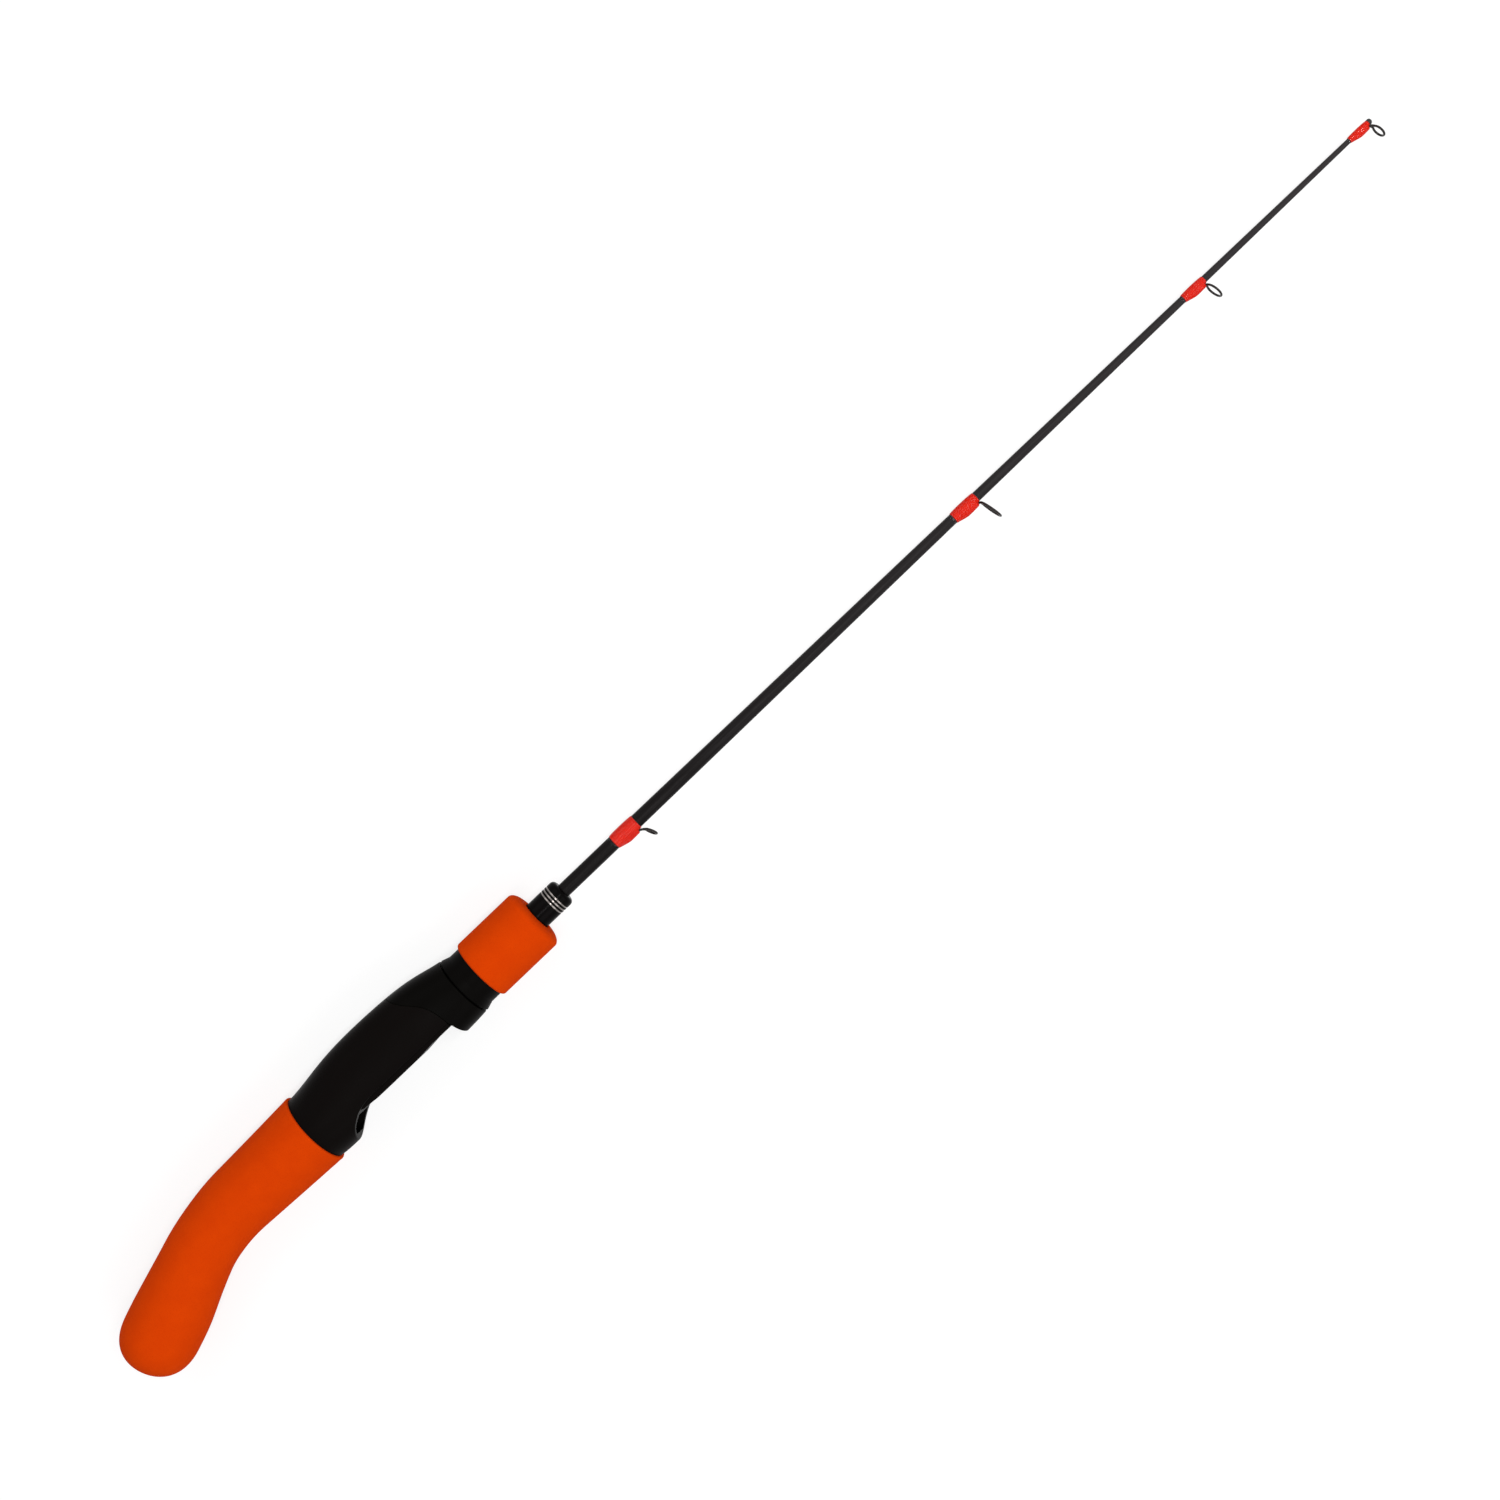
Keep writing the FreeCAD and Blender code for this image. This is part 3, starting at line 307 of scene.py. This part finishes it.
def sleeve_surface(columns=128):
    """A turned outline carried round the blank's axis: rear face, small corner, straight side, a
    quarter ellipse for the shoulder, front face, then back through the mouth onto the sleeve."""
    corner, dome_length, dome_depth = 1.0 * MM, 2.6 * MM, 4.4 * MM
    quarter, shoulder = np.linspace(0, math.pi / 2, 13), np.linspace(0, math.pi / 2, 25)
    x = np.concatenate((np.full(4, FORE_REAR_X), FORE_REAR_X + corner * (1 - np.cos(quarter)),
                        np.linspace(FORE_REAR_X + corner, FORE_FRONT_X - dome_length, 24)[1:-1],
                        FORE_FRONT_X - dome_length * (1 - np.sin(shoulder)),
                        np.full(6, FORE_FRONT_X),
                        np.linspace(FORE_FRONT_X, FORE_FRONT_X - MOUTH_DEPTH, 6),
                        np.full(4, FORE_FRONT_X - MOUTH_DEPTH)))
    radius = np.concatenate((np.linspace(SLEEVE_RADIUS, FORE_RADIUS - corner, 5)[:-1],
                             FORE_RADIUS - corner * (1 - np.sin(quarter)),
                             np.full(22, FORE_RADIUS),
                             FORE_RADIUS - dome_depth * (1 - np.cos(shoulder)),
                             np.linspace(FORE_RADIUS - dome_depth, MOUTH_RADIUS, 7)[1:],
                             np.full(6, MOUTH_RADIUS),
                             np.linspace(MOUTH_RADIUS, SLEEVE_RADIUS, 5)[1:]))
    around = np.linspace(0, 2 * math.pi, columns, endpoint=False)
    shape = (len(x), columns)
    return np.stack((np.broadcast_to(x[:, None], shape),
                     AXIS_Y + radius[:, None] * np.cos(around),
                     radius[:, None] * np.sin(around)), axis=2)


foregrip = sheet_mesh("foregrip_foam", sleeve_surface(), along=True)
foregrip.data.materials.append(foam)
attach(foregrip, "nut")
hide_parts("foregrip")

# ---------------------------------------------------------------- collar
# Aluminium winding check, turned, anodised glossy black, then cut bright again in
# three narrow rings near its domed front end.
COLLAR_FRONT_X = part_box("collar")[1][0]
# The rear ring's distance behind the collar's front, the step to the next ring, half a ring's width.
RING_BACK, RING_STEP, RING_HALF_WIDTH = 5.8 * MM, 1.25 * MM, 0.24 * MM


def largest(add, sockets):
    """The largest of the values that the sockets give."""
    most = sockets[0]
    for socket in sockets[1:]:
        most = add("ShaderNodeMath", {0: most, 1: socket}, operation="MAXIMUM").outputs[0]
    return most


collar_black, add, feed, place = finish("black_anodised_aluminium", srgb(6, 3, 3), 0.22, 0.025)
collar_x = add("ShaderNodeSeparateXYZ", {"Vector": place}).outputs["X"]
bright = largest(add, [
    add("ShaderNodeMath", {0: collar_x, 1: COLLAR_FRONT_X - RING_BACK + RING_STEP * ring,
                           2: RING_HALF_WIDTH}, operation="COMPARE").outputs[0]
    for ring in range(3)])
feed(blend(add, bright, srgb(9, 7, 7), srgb(126, 120, 117)), "Base Color")
feed(bright, "Metallic")
dress(collar_black, "collar")

# ---------------------------------------------------------------- blank
# Solid glass-fibre rod, ground to a slow taper and dipped in satin graphite paint. Its
# colour is greyer towards the thin end.
# The colour greys between these two places along the rod, and the fibres streak it this much.
PAINT_FROM_X, PAINT_TO_X = 0.09, 0.46
STREAKS = 0.12
blank_satin, add, feed, place = finish("satin_graphite", srgb(24, 21, 21), 0.36, 0.06)
stretch = add("ShaderNodeMapping", {"Vector": place, "Scale": (60.0, 1400.0, 1400.0)})
fibres = noise(add, stretch.outputs["Vector"], 1.0, 3.0)
blank_x = add("ShaderNodeSeparateXYZ", {"Vector": place}).outputs["X"]
towards_tip = spread(add, blank_x, (PAINT_FROM_X, PAINT_TO_X), (0, 1))
streaky = spread(add, fibres, (0.3, 0.7), (-STREAKS, STREAKS))
paint = add("ShaderNodeMath", {0: towards_tip, 1: streaky}, operation="ADD").outputs[0]
feed(blend(add, paint, srgb(15, 12, 12), srgb(54, 51, 52)), "Base Color")
relief(add, feed, fibres, 0.12, 0.05 * MM)
dress(blank_satin, "blank")

# ---------------------------------------------------------------- hook keeper and line guides
# Each is one hard steel wire: two feet ground to a taper at the butt end, lying under the
# blank, and a round loop between them. Blackened and polished, so that line slips off.
# Four places along the rod, and the blank's radius at each.
BLANK_AT = np.array((100.0, 256.0, 366.0, 458.4)) * MM
BLANK_RADII = np.array((2.55, 1.92, 1.35, 0.86)) * MM
WIRE_RADIUS = 0.4 * MM
# The ground taper's length, and how far behind its wrap it would come to a point.
TAPER, TAPER_LEAD = 5.2 * MM, 0.3 * MM
# How far inside its wrap a foot's thin end lies, the gap between the feet and the blank, and how far
# each foot lies to its side, as a share of its own radius.
FOOT_INSET, FOOT_GAP, FOOT_SPREAD = 0.9 * MM, 0.03 * MM, 1.05
FOOT_POINTS, LOOP_POINTS, WIRE_ROWS = 10, 41, 220
# Half the loop's opening towards the blank, in radians.
OPENING = 0.55


def smooth_step(value):
    """0 below 0, 1 above 1, and 3v2 - 2v3 between them."""
    value = np.clip(value, 0, 1)
    return value ** 2 * (3 - 2 * value)


def foot_share(x, start):
    """Thickness of a ground foot at x, as a share of the wire's: it grows from the wrap's start."""
    return smooth_step((x - start + TAPER_LEAD) / TAPER)


def unit(vectors):
    """Each vector divided by its length."""
    return vectors / np.linalg.norm(vectors, axis=-1, keepdims=True)


def wire_skin(start, leave, low, high, diameter, lean, skew, back, drop, columns=20):
    """A circle carried along the wire's line. The line is a smooth curve through the near foot, the
    loop and the far foot; a loop's point at angle a is centre - down cos a + across sin a. Its
    cross direction is the loop's own radius, made square to the line."""
    lean, skew = math.radians(lean), math.radians(skew)
    loop = diameter / 2 - WIRE_RADIUS
    down = np.array((math.sin(lean), -math.cos(lean), 0.0))
    across = np.array((math.sin(skew), 0.0, math.cos(skew)))
    centre = np.array((high[0] - back - WIRE_RADIUS - loop * math.hypot(down[0], across[0]),
                       low[1] - drop + WIRE_RADIUS - loop * down[1], 0.0))
    angle = np.linspace(OPENING, 2 * math.pi - OPENING, LOOP_POINTS)[:, None]
    ring = centre + loop * (across * np.sin(angle) - down * np.cos(angle))
    foot_x = np.linspace(start + FOOT_INSET, leave, FOOT_POINTS)
    radius = WIRE_RADIUS * foot_share(foot_x, start)
    depth = AXIS_Y - np.interp(foot_x, BLANK_AT, BLANK_RADII) - radius - FOOT_GAP
    near = np.stack((foot_x, depth, FOOT_SPREAD * radius), axis=1)
    far = near[::-1] * (1, 1, -1)
    knots = np.concatenate((near, ring, far))
    run = np.concatenate(((0,), np.cumsum(np.linalg.norm(np.diff(knots, axis=0), axis=1))))
    at = np.linspace(0, run[-1], WIRE_ROWS)
    line = spline(run, knots, at)
    turned = np.concatenate((np.zeros(FOOT_POINTS), angle[:, 0],
                             np.full(FOOT_POINTS, 2 * math.pi)))
    turned = np.interp(at, run, turned)[:, None]
    along = unit(np.gradient(line, at, axis=0))
    outward = across * np.sin(turned) - down * np.cos(turned)
    outward = unit(outward - (outward * along).sum(1, keepdims=True) * along)
    sideways = np.cross(along, outward)
    thickness = WIRE_RADIUS * np.where(line[:, 0] < leave, foot_share(line[:, 0], start), 1.0)
    around = np.linspace(0, 2 * math.pi, columns, endpoint=False)[None, :, None]
    return line[:, None] + thickness[:, None, None] * (
        outward[:, None] * np.cos(around) + sideways[:, None] * np.sin(around))


guide_black, add, feed, place = finish("blackened_wire", srgb(40, 36, 35), 0.3, 0.5, 0.85)
draw_marks = noise(add, place, 1800.0, 3.0)
feed(spread(add, draw_marks, (0.3, 0.7), (0.22, 0.38)), "Roughness")
# Each CAD node's piece and wrap, then the loop's diameter and how far the feet end ahead of the
# wrap's end, lean and skew in degrees, and how far the loop stands back and hangs down.
# The lengths are in millimetres.
RINGS = {"hook_keeper": ("keeper_wire", "keeper_wrap", 4.7, -1.5, 24.0, 16.0, 0.0, 0.6),
         "guide_1": ("first_guide_wire", "wrap_1", 8.5, -0.3, 11.5, -4.5, -0.1, 0.3),
         "guide_2": ("second_guide_wire", "wrap_2", 6.7, -0.9, 8.5, 0.0, 0.9, 0.5),
         "tip_guide": ("tip_guide_wire", "tip_wrap", 5.4, -0.2, 6.0, 0.0, 0.1, 0.9)}
for node, (name, wrap, diameter, ahead, lean, skew, back, drop) in RINGS.items():
    (start, _, _), (end, _, _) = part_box(wrap)
    low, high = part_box(node)
    wire = sheet_mesh(name, wire_skin(start, end + ahead * MM, low, high, diameter * MM,
                                      lean, skew, back * MM, drop * MM), caps=True)
    wire.data.materials.append(guide_black)
    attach(wire, "rod")
    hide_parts(node)

# ---------------------------------------------------------------- thread wraps
# Red nylon thread, wound under tension turn against turn over each pair of foot wires.
# It climbs from the bare blank onto the wires and ends where they bend out to the ring.
# Radius of the rounded ridge that the two wires make under the blank, and the thread's thickness.
FOOT_WIRE = 0.85 * MM
THREAD = 0.2 * MM
ROWS_PER_TURN = 8
# How high the winding stands at its ends, and what its arch adds in the middle.
THREAD_HEIGHT, ARCH_HEIGHT = 0.11 * MM, 0.26 * MM
# How deep the grooves between two turns are, as a share of a round thread's own, and a number just
# under 1 that keeps their walls from standing upright.
GROOVE_SHARE, GROOVE_REACH = 0.25, 0.9
# The length over which the winding comes down off the wires, and how deep its ends are sunk.
STEP_DOWN, SUNK = 0.5 * MM, 0.1 * MM


def wound_skin(x, height, foot, columns=96):
    """Sections across the rod, each the outline of a thread pulled tight round the blank and round the
    wires under it. In a direction n the point lies on the blank's circle or on the foot's,
    whichever reaches further along n; foot runs from 0, no wire yet, to 1."""
    turn = np.linspace(0, 2 * math.pi, columns, endpoint=False)
    up, side = np.cos(turn), np.sin(turn)
    blank_radius = np.interp(x, BLANK_AT, BLANK_RADII)
    round_blank = blank_radius + height
    round_foot = FOOT_WIRE * foot + height
    on_foot = round_foot - blank_radius * up > round_blank
    y = np.where(on_foot, round_foot * up - blank_radius, round_blank * up)
    z = np.where(on_foot, round_foot * side, round_blank * side)
    return np.stack((np.broadcast_to(x, y.shape), AXIS_Y + y, z), axis=2)


def hold(x, start, end, release):
    """How far the winding stands over the wires: up along their ground ends, down again where they
    leave it, release before the winding's end."""
    return foot_share(x, start) * (1 - smooth_step((x - end + release) / STEP_DOWN))


def crown(x, start, end):
    """Low arch over the winding's length, (4t(1 - t)) to the power 0.5."""
    share = np.clip((x - start) / (end - start), 0, 1)
    return (4 * share * (1 - share)) ** 0.5


def thread_skin(start, end, release, columns=72):
    """The turns: a round thread's profile repeated along the rod and turned into a helix, on top of
    the arch; the first and last rows step down into the blank."""
    rows = int(round((end - start) / THREAD)) * ROWS_PER_TURN + 1
    x = np.linspace(start, end, rows)[:, None]
    turn = np.linspace(0, 1, columns, endpoint=False)
    across = 2 * np.mod((x - start) / THREAD + turn, 1) - 1
    groove = THREAD / 2 * (1 - np.sqrt(1 - GROOVE_REACH * across ** 2))
    height = THREAD_HEIGHT + ARCH_HEIGHT * crown(x, start, end) - GROOVE_SHARE * groove
    skin = wound_skin(x, height, hold(x, start, end, release), columns)
    first, last = wound_skin(np.array([[start], [end]]), -SUNK, 0.0, columns)
    return np.concatenate((first[None], skin, last[None]))


thread, add, feed, place = finish("red_nylon_thread", srgb(218, 30, 12), 0.5, 0.08)
turns = add("ShaderNodeMapping", {"Vector": place, "Scale": (5000.0, 260.0, 260.0)})
lay = noise(add, turns.outputs["Vector"], 1.0, 2.0)
shade = spread(add, lay, (0.3, 0.62), (0, 1))
feed(blend(add, shade, srgb(206, 22, 8), srgb(230, 38, 16)), "Base Color")
relief(add, feed, noise(add, place, 9000.0, 2.0), 0.25, 0.02 * MM)
# Each wrap's piece, and how far before its end the winding leaves the wires.
WOUND = {"keeper_wrap": ("keeper_thread", 1.7 * MM), "wrap_1": ("first_guide_thread", 1.0 * MM),
         "wrap_2": ("second_guide_thread", 1.0 * MM), "tip_wrap": ("tip_guide_thread", 1.0 * MM)}
for node, (name, release) in WOUND.items():
    (start, _, _), (end, _, _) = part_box(node)
    winding = sheet_mesh(name, thread_skin(start, end, release), caps=True)
    winding.data.materials.append(thread)
    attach(winding, "rod")
    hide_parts(node)

# ---------------------------------------------------------------- varnish
# Clear two-part epoxy, brushed over the thread while the rod turned, so it is smooth
# and runs out thin onto the blank at both ends. All of it that shows is its gloss.
COAT_HEIGHT, HAIR = 0.14 * MM, 0.01 * MM
# How much of a clear sheet's mirror the coat keeps.
GLOSS_SHARE = 0.2


def varnish_skin(rear, start, end, front, release):
    """A smooth coat over the winding: the same outline a little higher. Past the thread it runs out
    to the blank as 1 - t2, at the share t of the way to the coat's own end, where it is sunk by
    a hair so that it closes."""
    x = np.concatenate((np.linspace(rear, start, 14)[:-1], np.linspace(start, end, 80),
                        np.linspace(end, front, 10)[1:]))[:, None]
    behind = np.clip((start - x) / (start - rear), 0, 1)
    ahead = np.clip((x - end) / (front - end), 0, 1)
    run_out = (1 - behind ** 2) * (1 - ahead ** 2)
    height = (COAT_HEIGHT + ARCH_HEIGHT * crown(x, start, end)) * run_out - HAIR
    return wound_skin(x, height, hold(x, start, end, release))


varnish, add, feed, place = finish("clear_epoxy", srgb(255, 255, 255), 0.07, metallic=1.0)
sag = relief(add, feed, noise(add, place, 300.0, 1.0), 0.2, 0.02 * MM)
gloss = add("ShaderNodeFresnel", {"IOR": 1.5, "Normal": sag}).outputs["Fac"]
clear = add("ShaderNodeMath", {0: gloss, 1: GLOSS_SHARE}, operation="MULTIPLY").outputs[0]
feed(clear, "Alpha")
COATED = {"keeper_coat": ("keeper_varnish", "keeper_wrap"),
          "coat_1": ("first_guide_varnish", "wrap_1"),
          "coat_2": ("second_guide_varnish", "wrap_2"),
          "tip_coat": ("tip_guide_varnish", "tip_wrap")}
for node, (name, wrap) in COATED.items():
    (rear, _, _), (front, _, _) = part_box(node)
    (start, _, _), (end, _, _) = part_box(wrap)
    coat = sheet_mesh(name, varnish_skin(rear, start, end, front, WOUND[wrap][1]), caps=True)
    coat.data.materials.append(varnish)
    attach(coat, "rod")
    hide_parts(node)

# ---------------------------------------------------------------- tip cap
# Small dark bush glued over the blank's thin end, with a rounded front.
dress(finish("dark_tip_cap", srgb(24, 21, 21), 0.35, 0.4)[0], "tip_cap")

# ---------------------------------------------------------------- studio
# Pale floor under the rod, a long soft lamp over it and a larger one on each side, and
# a camera straight above, turned so that the rod runs across the corners of its view.
FLOOR_Z = cad_box[0][2] - 0.1 * MM
FLOOR_REACH = np.array((-3.0, 3.0))
# Between these distances from the rod the floor runs into the white air, so no edge of it shows.
FADE_FROM, FADE_TO = 0.7, 2.0
# The floor that lights the rod from below, and the one that is seen: a darker one, which takes the
# shadows, with a glow that makes it just white in the open. Then how bright the air is as a lamp.
FLOOR_PALE, FLOOR_DARK, FLOOR_GLOW, AIR_LIGHT = 0.62, 0.32, 0.74, 0.38
floor_x, floor_y = np.meshgrid(FLOOR_REACH, FLOOR_REACH)
floor = sheet_mesh("studio_floor", np.stack((floor_x, floor_y, np.full((2, 2), FLOOR_Z)), axis=2),
                   around=False)


def seen_rays(add):
    """1 for what the camera sees, also by reflection or through glass, 0 for light's own paths."""
    path = add("ShaderNodeLightPath")
    return largest(add, [path.outputs[kind] for kind in ("Is Camera Ray", "Is Glossy Ray",
                                                         "Is Transmission Ray")])


def grey(level):
    """A neutral colour of one linear level."""
    return (level, level, level, 1)


floor_white = bpy.data.materials.new("studio_floor_white")
floor_white.use_nodes = True
floor_white.node_tree.nodes.clear()
add = adder(floor_white.node_tree)
pale = add("ShaderNodeBsdfDiffuse", {"Color": grey(FLOOR_PALE)})
shadowed = add("ShaderNodeBsdfDiffuse", {"Color": grey(FLOOR_DARK)})
glow = add("ShaderNodeEmission", {"Strength": FLOOR_GLOW})
backdrop = add("ShaderNodeAddShader", {0: shadowed.outputs[0], 1: glow.outputs[0]})
floor_place = add("ShaderNodeTexCoord").outputs["Object"]
away = add("ShaderNodeVectorMath", {0: floor_place}, operation="LENGTH").outputs["Value"]
fade = add("ShaderNodeMapRange", {"Value": away, "From Min": FADE_FROM, "From Max": FADE_TO},
           interpolation_type="SMOOTHSTEP").outputs["Result"]
far_white = add("ShaderNodeEmission", {"Strength": 1.0})
seen_floor = add("ShaderNodeMixShader", {0: fade, 1: backdrop.outputs[0], 2: far_white.outputs[0]})
chosen = add("ShaderNodeMixShader", {0: seen_rays(add), 1: pale.outputs[0],
                                     2: seen_floor.outputs[0]})
add("ShaderNodeOutputMaterial", {"Surface": chosen.outputs[0]})
floor.data.materials.append(floor_white)

world = bpy.data.worlds.new("studio_air")
bpy.context.scene.world = world
world.use_nodes = True
air = world.node_tree.nodes["Background"]
air.inputs["Color"].default_value = grey(1)
add = adder(world.node_tree)
level = spread(add, seen_rays(add), (0, 1), (AIR_LIGHT, 1))
world.node_tree.links.new(level, air.inputs["Strength"])


def soft_lamp(name, place, aim, size, power):
    """A rectangular area lamp, long along the rod, at a place and turned to face a point. The sizes
    are in metres and the power in watts."""
    lamp = bpy.data.lights.new(name, "AREA")
    lamp.shape, lamp.energy = "RECTANGLE", power
    lamp.size, lamp.size_y = size
    holder = bpy.data.objects.new(name, lamp)
    holder.location = place
    towards = Vector(aim) - Vector(place)
    holder.rotation_euler = (math.atan2(math.hypot(towards.x, towards.y), -towards.z), 0,
                             math.atan2(-towards.x, towards.y))
    bpy.context.collection.objects.link(holder)


MIDDLE = (0.22, AXIS_Y, 0.0)
soft_lamp("lamp_above", (0.46, -0.10, 1.25), (0.46, AXIS_Y, 0.0), (1.3, 0.15), 7.3)
soft_lamp("lamp_reel_side", (0.22, -0.95, 0.95), MIDDLE, (1.4, 0.8), 5.5)
soft_lamp("lamp_back_side", (0.22, 0.95, 0.95), MIDDLE, (1.4, 0.8), 3.5)

CAMERA_PLACE, CAMERA_TURN, VIEW_ANGLE = (0.1580, -0.00185, 0.664), -43.6751, 42.1
camera_data = bpy.data.cameras.new("camera")
camera_data.sensor_fit = "HORIZONTAL"
camera_data.angle = math.radians(VIEW_ANGLE)
camera = bpy.data.objects.new("camera", camera_data)
camera.location = CAMERA_PLACE
camera.rotation_euler = (0, 0, math.radians(CAMERA_TURN))
bpy.context.collection.objects.link(camera)
bpy.context.scene.camera = camera
bpy.context.scene.view_settings.view_transform = "Standard"
